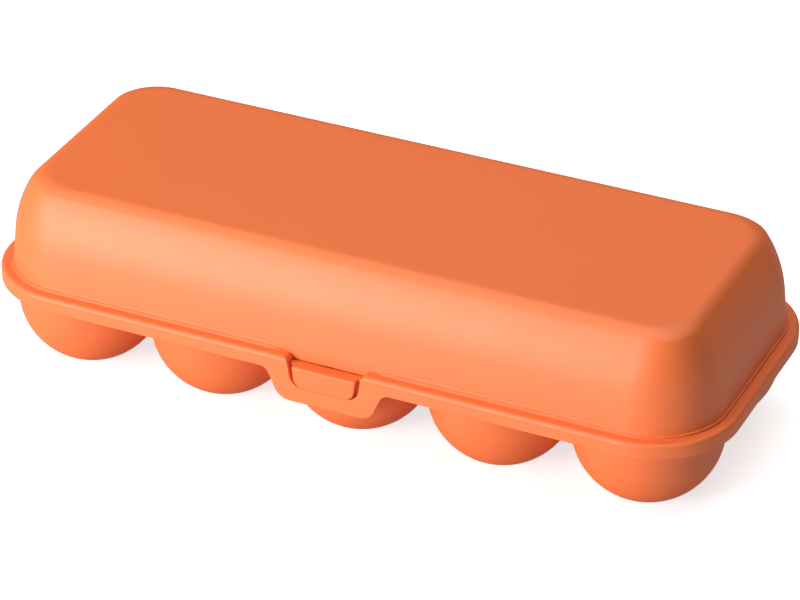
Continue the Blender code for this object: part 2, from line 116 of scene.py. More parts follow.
@dataclass(frozen=True)
class BoxSizes:
    """Driving sizes of the box and the places that follow from them."""

    cups_along: int = 5
    cups_across: int = 2
    cup_radius: float = 0.0252
    cup_gap: float = 0.0006
    cup_flat_radius: float = 0.006
    cup_neck_height: float = 0.0086
    cup_neck_flare: float = 0.0007
    cup_wall: float = 0.0015
    cup_lip_radius: float = 0.0008
    deck_thickness: float = 0.0018
    deck_edge_radius: float = 0.0004
    end_margin: float = 0.0054
    side_margin: float = 0.0043
    rim_corner_radius: float = 0.0294
    flange_thickness: float = 0.0023
    flange_width: float = 0.0052
    skirt_height: float = 0.0053
    skirt_thickness: float = 0.0016
    lid_rise: float = 0.03385
    lid_wall: float = 0.0016
    seat_gap: float = 0.0003
    skirt_gap: float = 0.0004
    fuse_depth: float = 0.0006
    overrun: float = 0.002
    catch_width: float = 0.0232
    catch_height: float = 0.00745
    catch_proud: float = 0.0004
    catch_side_lean: float = math.radians(9.0)
    catch_corner_sites: int = 13
    window_side_gap: float = 0.0014
    hinge_reach: float = 0.0032
    hinge_rise: float = 0.00125
    hinge_hook_radius: float = 0.0029
    hinge_hook_width: float = 0.0144
    hinge_pin_radius: float = 0.0015
    hinge_station_pitches: float = 1.5

    @property
    def pitch(self) -> float:
        """Distance between the middles of neighbouring cups."""
        return 2 * self.cup_radius + self.cup_gap

    @property
    def cup_centre_z(self) -> float:
        """Height of a cup's sphere centre above the table."""
        return math.sqrt(self.cup_radius**2 - self.cup_flat_radius**2)

    @property
    def deck_top_z(self) -> float:
        """Top of the tray's deck."""
        return self.cup_centre_z + self.cup_neck_height

    @property
    def deck_bottom_z(self) -> float:
        """Underside of the tray's deck."""
        return self.deck_top_z - self.deck_thickness

    @property
    def flange_bottom_z(self) -> float:
        """Underside of the lid's flange."""
        return self.deck_top_z + self.seat_gap

    @property
    def flange_top_z(self) -> float:
        """Top of the lid's flange."""
        return self.flange_bottom_z + self.flange_thickness

    @property
    def skirt_bottom_z(self) -> float:
        """Lower edge of the lid's skirt."""
        return self.flange_top_z - self.skirt_height

    @property
    def lid_top_z(self) -> float:
        """Flat top of the lid."""
        return self.flange_top_z + self.lid_rise

    @property
    def half_length(self) -> float:
        """Half of the rim's length."""
        return (self.cups_along - 1) / 2 * self.pitch + self.cup_radius + self.end_margin

    @property
    def half_depth(self) -> float:
        """Half of the rim's depth."""
        return (self.cups_across - 1) / 2 * self.pitch + self.cup_radius + self.side_margin

    @property
    def hinge_y(self) -> float:
        """Depth of the hinge axis."""
        return self.half_depth + self.hinge_reach

    @property
    def hinge_z(self) -> float:
        """Height of the hinge axis."""
        return self.deck_top_z + self.hinge_rise

    @property
    def hinge_x(self) -> float:
        """Distance of each hinge from the middle."""
        return self.hinge_station_pitches * self.pitch

    @property
    def hinge_gap_half(self) -> float:
        """Half width of a hinge's gap in the lid, cut a little into the ears."""
        return self.hinge_hook_width / 2 + self.seat_gap + self.fuse_depth

    @property
    def deck_inset(self) -> float:
        """How far the deck's edge stays inside the rim."""
        return self.skirt_thickness + self.skirt_gap

    @property
    def deck_back_y(self) -> float:
        """Back edge of the deck, clear of the skirt's swing."""
        sweep = math.hypot(self.hinge_reach + self.skirt_thickness, self.hinge_z - self.skirt_bottom_z)
        return self.hinge_y - sweep - self.seat_gap

    @property
    def catch_front_y(self) -> float:
        """Front face of the catch tab."""
        return -(self.half_depth + self.catch_proud)

    @property
    def catch_bottom_z(self) -> float:
        """Underside of the catch tab."""
        return self.deck_top_z - self.catch_height

    @property
    def window_half_width(self) -> float:
        """Half width of the latch window, level with the deck's top."""
        return self.catch_width / 2 + self.window_side_gap

    def leaning_side(self, half_width: float, z: float) -> float:
        """Half width, at a height, of an outline that narrows downwards from the deck's top."""
        return half_width - (self.deck_top_z - z) * math.tan(self.catch_side_lean)

    def leaning_corner(self, half_width: float, bottom_z: float, radius: float) -> np.ndarray:
        """Lower right corner arc between a level edge and a side that leans in towards it.

        Args:
            half_width: Half width of the outline, level with the deck's top.
            bottom_z: Height of the level edge.
            radius: Radius of the arc.

        Returns:
            Rows of (x, z), from the level edge up to the side.
        """
        centre_z = bottom_z + radius
        centre_x = self.leaning_side(half_width, centre_z) - radius / math.cos(self.catch_side_lean)
        end = 360 - math.degrees(self.catch_side_lean)
        return arc((centre_x, centre_z), radius, 270, end, self.catch_corner_sites)

    @property
    def shift(self) -> np.ndarray:
        """Place of the rim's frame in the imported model's frame."""
        return np.array([0.0, -(self.hinge_y + self.hinge_hook_radius + self.catch_front_y) / 2, 0.0])


def arc(centre: tuple[float, float], radius: float, start: float, end: float, count: int) -> np.ndarray:
    """Points along an arc: the centre plus radius times (cosine, sine) of an evenly running angle.

    Args:
        centre: Middle of the arc in its own plane.
        radius: Radius in metres.
        start: First angle in degrees.
        end: Last angle in degrees.
        count: Number of points, both ends included.

    Returns:
        An array of count rows and two columns.
    """
    angle = np.radians(np.linspace(start, end, count))
    return np.column_stack((centre[0] + radius * np.cos(angle), centre[1] + radius * np.sin(angle)))


def quarter_round(radius: float, steps: int) -> tuple[np.ndarray, np.ndarray]:
    """Round rim: it moves in by radius * (1 - cos a) and runs out by radius * sin a, a up to 90 degrees.

    Args:
        radius: Radius in metres.
        steps: Segments in the rim.

    Returns:
        How far each ring of the rim has moved in, and how far it has run out.
    """
    turn = np.linspace(0.0, math.pi / 2, steps + 1)
    return radius * (1 - np.cos(turn)), radius * np.sin(turn)


def mirrored(right: np.ndarray) -> np.ndarray:
    """Closed outline from its right half, which runs upwards."""
    return np.vstack((right, right[::-1] * np.array([-1.0, 1.0])))


def rounded_path(corners: Sequence[tuple[float, float, float]], steps: int = 4) -> np.ndarray:
    """Polyline whose corners are rounded.

    At a corner with radius r and turning angle t, the arc starts and ends r * tan(t / 2) away from the
    corner, and its points are the corner's two tangent points blended along the circle between them.

    Args:
        corners: Points as (first, second, radius); a radius of zero keeps the corner.
        steps: Segments in each rounded corner.

    Returns:
        The path's points, two columns.
    """
    places = np.array([corner[:2] for corner in corners])
    path = [places[:1]]
    for before, here, after, radius in zip(
        places[:-2], places[1:-1], places[2:], (corner[2] for corner in corners[1:-1]), strict=True
    ):
        if radius == 0.0:
            path.append(here[None])
            continue
        inward = (before - here) / np.linalg.norm(before - here)
        onward = (after - here) / np.linalg.norm(after - here)
        half = math.acos(float(np.clip(inward @ onward, -1.0, 1.0))) / 2
        middle = here + (inward + onward) / np.linalg.norm(inward + onward) * radius / math.sin(half)
        first = here + inward * radius / math.tan(half) - middle
        last = here + onward * radius / math.tan(half) - middle
        sweep = math.pi - 2 * half
        share = np.linspace(0.0, 1.0, steps + 1)[:, None]
        spread = (np.sin((1 - share) * sweep) * first + np.sin(share * sweep) * last) / math.sin(sweep)
        path.append(middle + spread)
    path.append(places[-1:])
    return np.vstack(path)


def inward_normals(outline: np.ndarray) -> np.ndarray:
    """Unit normals of a closed counter-clockwise outline, pointing to its inside.

    A point's normal is its two edges' unit directions added and turned a quarter to the left, and made
    longer at a bend so that both edges move in by the same distance.

    Args:
        outline: Points in order, two columns.

    Returns:
        One normal for each point, two columns.
    """
    ahead = np.roll(outline, -1, axis=0) - outline
    ahead /= np.linalg.norm(ahead, axis=1, keepdims=True)
    behind = np.roll(ahead, 1, axis=0)
    total = ahead + behind
    total /= np.linalg.norm(total, axis=1, keepdims=True)
    normal = np.column_stack((-total[:, 1], total[:, 0]))
    reach = np.abs(np.sum(normal * np.column_stack((-ahead[:, 1], ahead[:, 0])), axis=1))
    shortest = 0.5
    return normal / np.maximum(reach, shortest)[:, None]


def linked(name: str, data: bpy.types.ID) -> bpy.types.Object:
    """Make an object of some data and link it to the scene.

    Args:
        name: Name of the object.
        data: Its mesh, light or camera.

    Returns:
        The new object, which sits at the origin.
    """
    item = bpy.data.objects.new(name, data)
    bpy.context.scene.collection.objects.link(item)
    return item


def towards(azimuth: float, elevation: float) -> Vector:
    """Unit vector from the box: (sin a * cos e, -cos a * cos e, sin e) for azimuth a and elevation e.

    Args:
        azimuth: Degrees to the right of the front.
        elevation: Degrees above the table.

    Returns:
        The vector.
    """
    a, e = math.radians(azimuth), math.radians(elevation)
    return Vector((math.sin(a) * math.cos(e), -math.cos(a) * math.cos(e), math.sin(e)))


@contextmanager
def opened(mesh: bpy.types.Mesh) -> Iterator[bmesh.types.BMesh]:
    """Open a mesh for editing and write it back at the end.

    Args:
        mesh: The mesh.

    Yields:
        Its editable body.
    """
    body = bmesh.new()
    body.from_mesh(mesh)
    yield body
    body.to_mesh(mesh)
    body.free()


@dataclass
class Surface:
    """Vertices and faces that grow patch by patch and end as one closed mesh."""

    points: list[np.ndarray] = field(default_factory=list)
    faces: list[tuple[int, ...]] = field(default_factory=list)
    count: int = 0

    def add_points(self, points: np.ndarray) -> np.ndarray:
        """Add loose points.

        Args:
            points: Their places, three columns.

        Returns:
            Their numbers.
        """
        numbers = np.arange(self.count, self.count + len(points))
        self.points.append(np.asarray(points, dtype=float))
        self.count += len(points)
        return numbers

    def add_rings(self, rings: np.ndarray) -> np.ndarray:
        """Add closed rings of points and the quads between them.

        Args:
            rings: Points as rings by sites by three.

        Returns:
            The points' numbers, rings by sites.
        """
        numbers = self.add_points(rings.reshape(-1, 3)).reshape(rings.shape[:2])
        beside = np.roll(numbers, -1, axis=1)
        quads = np.stack((numbers[:-1], beside[:-1], beside[1:], numbers[1:]), axis=-1)
        self.faces += [tuple(quad) for quad in quads.reshape(-1, 4).tolist()]
        return numbers

    def add_cap(self, numbers: np.ndarray) -> None:
        """Close a ring of points with one flat face."""
        self.faces.append(tuple(numbers.tolist()))

    def add_capped(self, rings: np.ndarray) -> None:
        """Add closed rings of points, and a flat face on the first one and on the last one.

        Args:
            rings: Points as rings by sites by three.
        """
        numbers = self.add_rings(rings)
        self.add_cap(numbers[0])
        self.add_cap(numbers[-1])

    def add_flat(self, loops: Sequence[np.ndarray], height: float) -> None:
        """Fill a level region between an outer loop and the holes in it with triangles.

        Args:
            loops: The outer loop first and then its holes, two columns each.
            height: Height of the region.
        """
        rings = [[Vector((x, y, 0.0)) for x, y in loop] for loop in loops]
        flat = np.vstack(loops)
        start = self.add_points(np.column_stack((flat, np.full(len(flat), height))))[0]
        self.faces += [tuple(int(start) + k for k in face) for face in tessellate_polygon(rings)]

    def to_object(self, name: str, shift: np.ndarray) -> bpy.types.Object:
        """Weld the patches, turn the faces outwards and link the mesh as a smooth object.

        Args:
            name: Name of the object and its mesh.
            shift: Place of the rim's frame in the model's frame.

        Returns:
            The new object, which sits at the origin.
        """
        mesh = bpy.data.meshes.new(name)
        mesh.from_pydata((np.vstack(self.points) + shift).tolist(), [], self.faces)
        with opened(mesh) as body:
            bmesh.ops.remove_doubles(body, verts=body.verts, dist=WELD)
            bmesh.ops.dissolve_degenerate(body, edges=body.edges, dist=WELD)
            bmesh.ops.recalc_face_normals(body, faces=body.faces)
        mesh.shade_smooth()
        return linked(name, mesh)


def plate(
    outline: np.ndarray, axis: Axis, low: float, high: float, edge: float = 0.0, steps: int = 4
) -> Surface:
    """Flat plate with round rims: an outline carried along an axis.

    At each end the outline moves in along a quarter round, and a flat face closes it.

    Args:
        outline: Closed counter-clockwise outline in the plane of the two other axes.
        axis: Axis that the plate is as thick along.
        low: Lower end along the axis.
        high: Upper end along the axis.
        edge: Radius of the rims; zero leaves them sharp.
        steps: Segments in each rim.

    Returns:
        The plate's surface.
    """
    insets, places = np.zeros(2), np.array([low, high])
    if edge:
        inset, reach = quarter_round(edge, steps)
        flat_margin = 1.25
        inset, reach = np.append(inset, edge * flat_margin), np.append(reach, edge)
        insets = np.concatenate((inset[::-1], inset))
        places = np.concatenate((low + edge - reach[::-1], high - edge + reach))
    rings = outline[None] + insets[:, None, None] * inward_normals(outline)[None]
    along = np.broadcast_to(places[:, None], rings.shape[:2])
    order = {Axis.X: (along, rings[..., 0], rings[..., 1]), Axis.Y: (rings[..., 0], along, rings[..., 1])}
    surface = Surface()
    surface.add_capped(np.stack(order[axis], axis=-1))
    return surface


def settled(item: bpy.types.Object) -> None:
    """Apply a piece's modifiers to its mesh.

    Args:
        item: The piece.
    """
    graph = bpy.context.evaluated_depsgraph_get()
    mesh = bpy.data.meshes.new_from_object(item.evaluated_get(graph))
    mesh.name = item.name
    item.modifiers.clear()
    item.data = mesh


def carve(item: bpy.types.Object, cutters: Sequence[bpy.types.Object], cut: Cut = Cut.OUTSIDE) -> None:
    """Cut a piece with solid cutters, and remove the cutters.

    Args:
        item: The piece.
        cutters: Closed meshes.
        cut: Which side of the cutters stays.
    """
    for cutter in cutters:
        step = item.modifiers.new(cutter.name, "BOOLEAN")
        step.operation = cut.value
        step.solver = "EXACT"
        step.object = cutter
    settled(item)
    for cutter in cutters:
        bpy.data.objects.remove(cutter, do_unlink=True)


def weld(item: bpy.types.Object, reach: float, half_width: float) -> None:
    """Merge the points that lie close together in the middle of a piece.

    Args:
        item: The piece.
        reach: Distance within which points become one.
        half_width: Farthest X, to both sides, at which points are merged.
    """
    with opened(item.data) as body:
        middle = [point for point in body.verts if abs(point.co.x) < half_width]
        bmesh.ops.remove_doubles(body, verts=middle, dist=reach)
        bmesh.ops.dissolve_degenerate(body, edges=body.edges, dist=WELD)


def round_rims(
    item: bpy.types.Object, radius: float, spared: Callable[[Vector], bool] = lambda middle: False
) -> None:
    """Round the sharp edges of a piece.

    Args:
        item: The piece.
        radius: Radius of the rims.
        spared: Test for the middle of an edge that stays as it is.
    """
    with opened(item.data) as body:
        weight = body.edges.layers.float.new("bevel_weight_edge")
        for edge in body.edges:
            middle = (edge.verts[0].co + edge.verts[1].co) / 2
            edge[weight] = float(edge.calc_face_angle(0.0) > RIM_ANGLE and not spared(middle))
    rim = item.modifiers.new("rims", "BEVEL")
    rim.width = radius
    rim.segments = RIM_SEGMENTS
    rim.limit_method = "WEIGHT"
    rim.use_clamp_overlap = False
    settled(item)


def even_normals(item: bpy.types.Object) -> None:
    """Let the large faces rule the shading, so that flat faces look flat up to their round edges.

    Args:
        item: The piece.
    """
    item.data.shade_smooth()
    weight = item.modifiers.new("even normals", "WEIGHTED_NORMAL")
    weight.mode = "FACE_AREA"
    weight.weight = LARGE_FACES
    weight.keep_sharp = False
    settled(item)


class Signal:
    """A value on its way through a node tree; sums and products of signals become Math nodes."""

    def __init__(self, tree: bpy.types.NodeTree, socket: bpy.types.NodeSocket) -> None:
        """Hold the socket that the value comes from."""
        self.tree = tree
        self.socket = socket

    def math(self, operation: str, *values: Signal | float) -> Signal:
        """Combine signals or numbers with a Math node.

        Args:
            operation: The node's operation.
            *values: What its inputs get.

        Returns:
            The node's result.
        """
        node = self.tree.nodes.new("ShaderNodeMath")
        node.operation = operation
        for value, socket in zip(values, node.inputs, strict=False):
            if isinstance(value, Signal):
                value.into(socket)
            else:
                socket.default_value = value
        return Signal(self.tree, node.outputs[0])

    def __add__(self, other: Signal | float) -> Signal:
        """Sum."""
        return self.math("ADD", self, other)

    def __sub__(self, other: Signal | float) -> Signal:
        """Difference."""
        return self.math("SUBTRACT", self, other)

    def __rsub__(self, other: float) -> Signal:
        """Difference of a number and this signal."""
        return self.math("SUBTRACT", other, self)

    def __mul__(self, other: Signal | float) -> Signal:
        """Product."""
        return self.math("MULTIPLY", self, other)

    __radd__ = __add__
    __rmul__ = __mul__

    def into(self, socket: bpy.types.NodeSocket) -> None:
        """Lead the signal into a socket."""
        self.tree.links.new(self.socket, socket)


class NodeTree:
    """Node tree with one method for every kind of node."""

    def __init__(self, tree: bpy.types.NodeTree) -> None:
        """Hold the tree."""
        self.tree = tree

    def add(
        self,
        kind: str,
        output: str | int = 0,
        settings: dict[str, object] | None = None,
        inputs: dict[str | int, object] | None = None,
    ) -> Signal:
        """Add a node.

        Args:
            kind: Node type after "ShaderNode".
            output: Name or number of the output to give back.
            settings: Properties of the node, which are set first.
            inputs: Values or signals for its sockets, by name or number.

        Returns:
            The chosen output.
        """
        node = self.tree.nodes.new("ShaderNode" + kind)
        for key, value in (settings or {}).items():
            setattr(node, key, value)
        self.fill(node, inputs or {})
        return Signal(self.tree, node.outputs[output])

    @staticmethod
    def fill(node: bpy.types.Node, inputs: dict[str | int, object]) -> None:
        """Set or link sockets of a node.

        Args:
            node: The node.
            inputs: Values or signals for its sockets, by name or number.
        """
        for key, value in inputs.items():
            if isinstance(value, Signal):
                value.into(node.inputs[key])
            else:
                node.inputs[key].default_value = value

    def noise(self, scale: float, detail: float, rise: float) -> Signal:
        """Noise over Object coordinates.

        Args:
            scale: Bumps to the metre.
            detail: Octaves.
            rise: Strength of each octave against the one before.

        Returns:
            A value from 0 to 1 that is even on average.
        """
        place = self.add("TexCoord", "Object")
        inputs = {"Vector": place, "Scale": scale, "Detail": detail, "Roughness": rise}
        return self.add("TexNoise", "Fac", inputs=inputs)

    def tone(self, share: Signal, first: Sequence[float], second: Sequence[float]) -> Signal:
        """Blend two colours: (1 - share) * first + share * second.

        Args:
            share: How much of the second colour shows.
            first: Linear red, green and blue.
            second: Linear red, green and blue.

        Returns:
            The blended colour.
        """
        colours = dict(zip(MIX_COLOURS, ((*first, 1.0), (*second, 1.0)), strict=True))
        return self.add("Mix", MIX_RESULT, {"data_type": "RGBA"}, {"Factor": share, **colours})

    def background_rays(self) -> Signal:
        """1 on rays that show the background to the camera, straight or through a clear piece."""
        return self.add("LightPath", "Is Camera Ray") + self.add("LightPath", "Is Transmission Ray")


class FinishTree(NodeTree):
    """Node tree of one finish, round a Principled shader."""

    def __init__(self, name: str) -> None:
        """Start the material.

        Args:
            name: Name of the material.
        """
        self.material = bpy.data.materials.new(name)
        self.material.use_nodes = True
        super().__init__(self.material.node_tree)

    def shade(self, **inputs: object) -> bpy.types.Material:
        """Set or link the shader's sockets, whose names have underscores for spaces.

        Args:
            **inputs: Values or signals.

        Returns:
            The finished material.
        """
        sockets = {key.replace("_", " "): value for key, value in inputs.items()}
        self.fill(self.tree.nodes["Principled BSDF"], sockets)
        return self.material


@dataclass(frozen=True)
class SatinPlastic:
    """Satin moulded polypropylene: an even colour over a fine spark-eroded grain."""

    name: str
    colour: tuple[float, float, float]
    shade: tuple[float, float, float]
    roughness: float = 0.58
    roughness_spread: float = 0.05
    gloss_level: float = 1.0
    cloud_scale: float = 22.0
    cloud_detail: float = 3.0
    cloud_rise: float = 0.5
    cloud_share: float = 0.7
    flow_scale: float = 55.0
    flow_detail: float = 4.0
    flow_rise: float = 0.6
    grain_scale: float = 2600.0
    grain_detail: float = 2.0
    grain_rise: float = 0.6
    grain_strength: float = 0.06
    grain_depth: float = 0.00004

    def material(self) -> bpy.types.Material:
        """Build the node tree.

        The colour drifts between two close tones over a few centimetres, the roughness follows slow flow
        marks and the fine grain, and the grain also lifts the surface.

        Returns:
            The material.
        """
        tree = FinishTree(self.name)
        cloud = tree.noise(self.cloud_scale, self.cloud_detail, self.cloud_rise)
        grain = tree.noise(self.grain_scale, self.grain_detail, self.grain_rise)
        flow = tree.noise(self.flow_scale, self.flow_detail, self.flow_rise)
        share = self.cloud_share * cloud + (1.0 - self.cloud_share) * grain
        lift = {"Strength": self.grain_strength, "Distance": self.grain_depth, "Height": grain}
        return tree.shade(
            Base_Color=tree.tone(share, self.colour, self.shade),
            Roughness=self.roughness + self.roughness_spread * (flow + grain - 1.0),
            Normal=tree.add("Bump", "Normal", inputs=lift),
            Specular_IOR_Level=self.gloss_level,
        )


@dataclass
class Finishes:
    """The box's two plastics."""

    lid: bpy.types.Material
    tray: bpy.types.Material

    @classmethod
    def mixed(cls) -> Finishes:
        """Mix both plastics; the tray is moulded from the same orange a touch deeper.

        Returns:
            Both materials.
        """
        lid = SatinPlastic("lid_satin_orange", (0.900, 0.165, 0.020), (0.880, 0.152, 0.017))
        tray = SatinPlastic("tray_satin_orange", (0.890, 0.158, 0.018), (0.865, 0.145, 0.015), roughness=0.60)
        return cls(lid.material(), tray.material())


def dress(item: bpy.types.Object, material: bpy.types.Material) -> None:
    """Give a piece its finish, and log its number of faces.

    Args:
        item: The piece.
        material: The finish.
    """
    item.data.materials.clear()
    item.data.materials.append(material)
    LOG.info("%s: %d faces", item.name, len(item.data.polygons))


@dataclass
class LidMoulding:
    """Domed lid with its flange, its skirt and the sprung latch flap, all one moulding."""

    sizes: BoxSizes
    corner_steps: int = 24
    wall_rings: int = 22
    edge_rings: int = 14
    foot_rings: int = 5
    fillet_steps: int = 6
    top_edge_radius: float = 0.006
    top_corner_radius: float = 0.0150
    top_flat_margin: float = 0.0005
    straight_height: float = 0.00755
    lean: float = math.radians(35.0)
    foot_lean: float = math.radians(5.0)
    foot_step_inset: float = 0.0037
    foot_step_height: float = 0.0009
    foot_fillet: float = 0.00025
    foot_crease: float = 0.00045
    flange_edge_radius: float = 0.0013
    notch_cover: float = 0.00003
    step_fade_to: float = 0.0202
    inside_overlap: float = 0.004
    inside_fillets: tuple[float, float] = (0.0004, 0.0005)
    skirt_edge_radius: float = 0.0004
    window_corner_radius: float = 0.0048
    window_lead_radius: float = 0.0024
    window_lead_share: float = 0.96
    window_rim_radius: float = 0.00022
    flap_leg_width: float = 0.0061
    flap_bar_height: float = 0.0058
    flap_corner_radius: float = 0.006
    flap_flare_radius: float = 0.0036
    flap_lean: float = math.radians(23.0)
    flap_bend_drop: float = 0.0001
    flap_bend_length: float = 0.0024
    clear_from: float = 0.009
    clear_to: float = 0.0166
    bar_sites: int = 4
    flap_corner_sites: int = 15
    flap_flare_sites: int = 13
    window_lead_sites: int = 11
    skirt_near_sites: tuple[float, ...] = (0.0255, 0.0275, 0.030)
    skirt_even_from: float = 0.034
    skirt_even_sites: int = 15
    back_outer_x: float = 0.0885
    back_outer_sites: int = 3
    back_inner_x: float = 0.063
    back_inner_sites: int = 9
    end_sites: int = 7
    corner_margin: float = 0.0007

    @property
    def window_bottom_z(self) -> float:
        """Lower edge of the latch window."""
        return self.sizes.catch_bottom_z - self.sizes.seat_gap

    @property
    def flap_bottom_z(self) -> float:
        """Lower edge of the latch flap."""
        return self.window_bottom_z - self.flap_bar_height

    @property
    def step_z(self) -> float:
        """Top of the small step round the wall's foot."""
        return self.sizes.flange_top_z + self.foot_step_height

    @property
    def foot_inset(self) -> float:
        """Inset of the wall's foot, at the top of the small step."""
        return self.wall_inset(self.step_z)

    def straight_ends(self) -> tuple[float, float]:
        """Farthest places that lie on the straight sides of every ring, a little before the corners.

        Returns:
            The places along X and along Y.
        """
        inset, _, radius = self.wall_path(0.0)[-1]
        hold = inset + radius + self.corner_margin
        return self.sizes.half_length - hold, self.sizes.half_depth - hold

    def front_outline(self) -> tuple[np.ndarray, np.ndarray, np.ndarray]:
        """Lower edge of the front, from the left end of the straight skirt to the right end.

        The right half runs along the flap's level bar, up its lower corner arc, along its leaning side,
        round the flare arc and out along the skirt. The left half mirrors it.

        Returns:
            The edge's points, the unit normals into the plastic, and the X that each point's line has at
            the flange, which is moved clear of the latch window.
        """
        size = self.sizes
        flare, corner, lean = self.flap_flare_radius, self.flap_corner_radius, self.flap_lean
        half_width = size.window_half_width + self.flap_leg_width
        flare_z = size.skirt_bottom_z - flare
        flare_x = half_width + (flare_z - size.catch_bottom_z) * math.tan(lean) + flare / math.cos(lean)
        corner_z = self.flap_bottom_z + corner
        corner_x = half_width + (corner_z - size.catch_bottom_z) * math.tan(lean) - corner / math.cos(lean)
        side = math.degrees(lean)
        bar_x = np.linspace(0.0, self.clear_from, self.bar_sites)
        bar = np.column_stack((bar_x, np.full(len(bar_x), self.flap_bottom_z)))
        low_arc = arc((corner_x, corner_z), corner, 270, 360 - side, self.flap_corner_sites)
        high_arc = arc((flare_x, flare_z), flare, 180 - side, 90, self.flap_flare_sites)
        even = np.linspace(self.skirt_even_from, self.straight_ends()[0], self.skirt_even_sites)
        skirt_x = np.concatenate((self.skirt_near_sites, even))
        skirt = np.column_stack((skirt_x, np.full(len(skirt_x), size.skirt_bottom_z)))
        low_normal = (np.array([corner_x, corner_z]) - low_arc) / corner
        high_normal = (high_arc - np.array([flare_x, flare_z])) / flare
        bar_normal, skirt_normal = (np.tile([0.0, 1.0], (len(level), 1)) for level in (bar, skirt))
        edge = np.vstack((bar, low_arc, high_arc, skirt))
        normal = np.vstack((bar_normal, low_normal, high_normal, skirt_normal))
        share = np.clip((edge[:, 0] - corner_x) / (flare_x - corner_x), 0.0, 1.0)
        moved = self.clear_to + share * (flare_x - self.clear_to)
        clear_x = np.where(edge[:, 0] > self.clear_from + WELD, np.maximum(moved, edge[:, 0]), edge[:, 0])
        flip = np.array([-1.0, 1.0])
        edge = np.vstack((edge[:0:-1] * flip, edge))
        normal = np.vstack((normal[:0:-1] * flip, normal))
        return edge, normal, np.concatenate((-clear_x[:0:-1], clear_x))

    def rings(self, path: np.ndarray) -> np.ndarray:
        """Loft rounded rectangles through a path of (inset, height, corner radius).

        A point on the ring is a fixed place along a straight side, or the corner's centre plus the corner
        radius times (cosine, sine). Below the skirt's edge radius the front side follows the flap's
        outline: the height above the skirt's lower edge becomes a distance along the outline's normal.
        Towards the notch the small step sinks into the wall's foot.

        Args:
            path: One row for each ring.

        Returns:
            The rings' points, rings by sites by three.
        """
        size = self.sizes
        inset, height, radius = path.T
        along, across = self.straight_ends()
        edge, normal, clear_x = self.front_outline()
        turn = np.radians(np.linspace(0.0, 90.0, self.corner_steps + 1))
        outer = np.linspace(along, self.back_outer_x, self.back_outer_sites)
        inner = np.linspace(self.back_inner_x, -self.back_inner_x, self.back_inner_sites)
        back = np.concatenate((outer, inner, -outer[::-1]))
        side = np.linspace(across, -across, self.end_sites)
        a = (size.half_length - inset)[:, None]
        b = (size.half_depth - inset)[:, None]
        r = radius[:, None]
        level = height[:, None]

        def corner(sign_x: float, sign_y: float, start: float) -> np.ndarray:
            """Work out one corner of every ring.

            Args:
                sign_x: Side of the corner along X.
                sign_y: Side of the corner along Y.
                start: First angle in degrees.

            Returns:
                Points as rings by sites by three.
            """
            angle = turn + math.radians(start)
            x = sign_x * (a - r) + r * np.cos(angle)
            y = sign_y * (b - r) + r * np.sin(angle)
            return np.stack((x, y, np.broadcast_to(level, x.shape)), axis=-1)

        def straight(x: np.ndarray, y: np.ndarray) -> np.ndarray:
            """Points of one straight side of every ring."""
            shape = (len(path), max(x.shape[1], y.shape[1]))
            return np.stack([np.broadcast_to(value, shape) for value in (x, y, level)], axis=-1)

        low = level < size.skirt_bottom_z + self.skirt_edge_radius + WELD
        rise = np.where(low, level - size.skirt_bottom_z, 0.0)
        front_x = np.where(low, edge[:, 0] + rise * normal[:, 0], clear_x)
        front_z = np.where(low, edge[:, 1] + rise * normal[:, 1], level)
        front_y = -b + self.step_fade(inset, height)[:, None] * self.near_notch(clear_x)
        parts = (
            corner(1, 1, 0),
            straight(back[None], b),
            corner(-1, 1, 90),
            straight(-a, side[None]),
            corner(-1, -1, 180),
            np.stack((front_x, front_y, front_z), axis=-1),
            corner(1, -1, 270),
            straight(a, -side[None]),
        )
        return np.concatenate(parts, axis=1)

    def step_fade(self, inset: np.ndarray, height: np.ndarray) -> np.ndarray:
        """How far points of the rim's profile lie in front of the wall's foot, if they are on the step.

        Args:
            inset: Insets of the points.
            height: Heights of the points.

        Returns:
            Foot inset minus inset on the small step, and zero elsewhere.
        """
        top_z, foot = self.sizes.flange_top_z, self.foot_inset
        low = self.foot_step_inset - self.foot_fillet
        raised = (height > top_z - WELD) & (height < self.step_z + WELD)
        return np.where(raised & (inset > low - WELD) & (inset < foot + WELD), foot - inset, 0.0)

    def near_notch(self, x: np.ndarray) -> np.ndarray:
        """Smooth step s * s * (3 - 2 * s) from 1 beside the notch to 0 where the small step is whole."""
        share = np.clip((self.step_fade_to - np.abs(x)) / (self.step_fade_to - self.clear_to), 0.0, 1.0)
        return share * share * (3 - 2 * share)

    def on_step(self, place: Vector) -> bool:
        """Tell whether a place lies on the small step along the front, which has its own fillets.

        Args:
            place: Place in the model's frame.

        Returns:
            Whether it does.
        """
        size = self.sizes
        depth = place.y - size.shift[1] + size.half_depth
        low = self.foot_step_inset - 2 * self.foot_fillet
        return place.z - size.shift[2] > size.flange_top_z - WELD and low < depth < size.flange_width

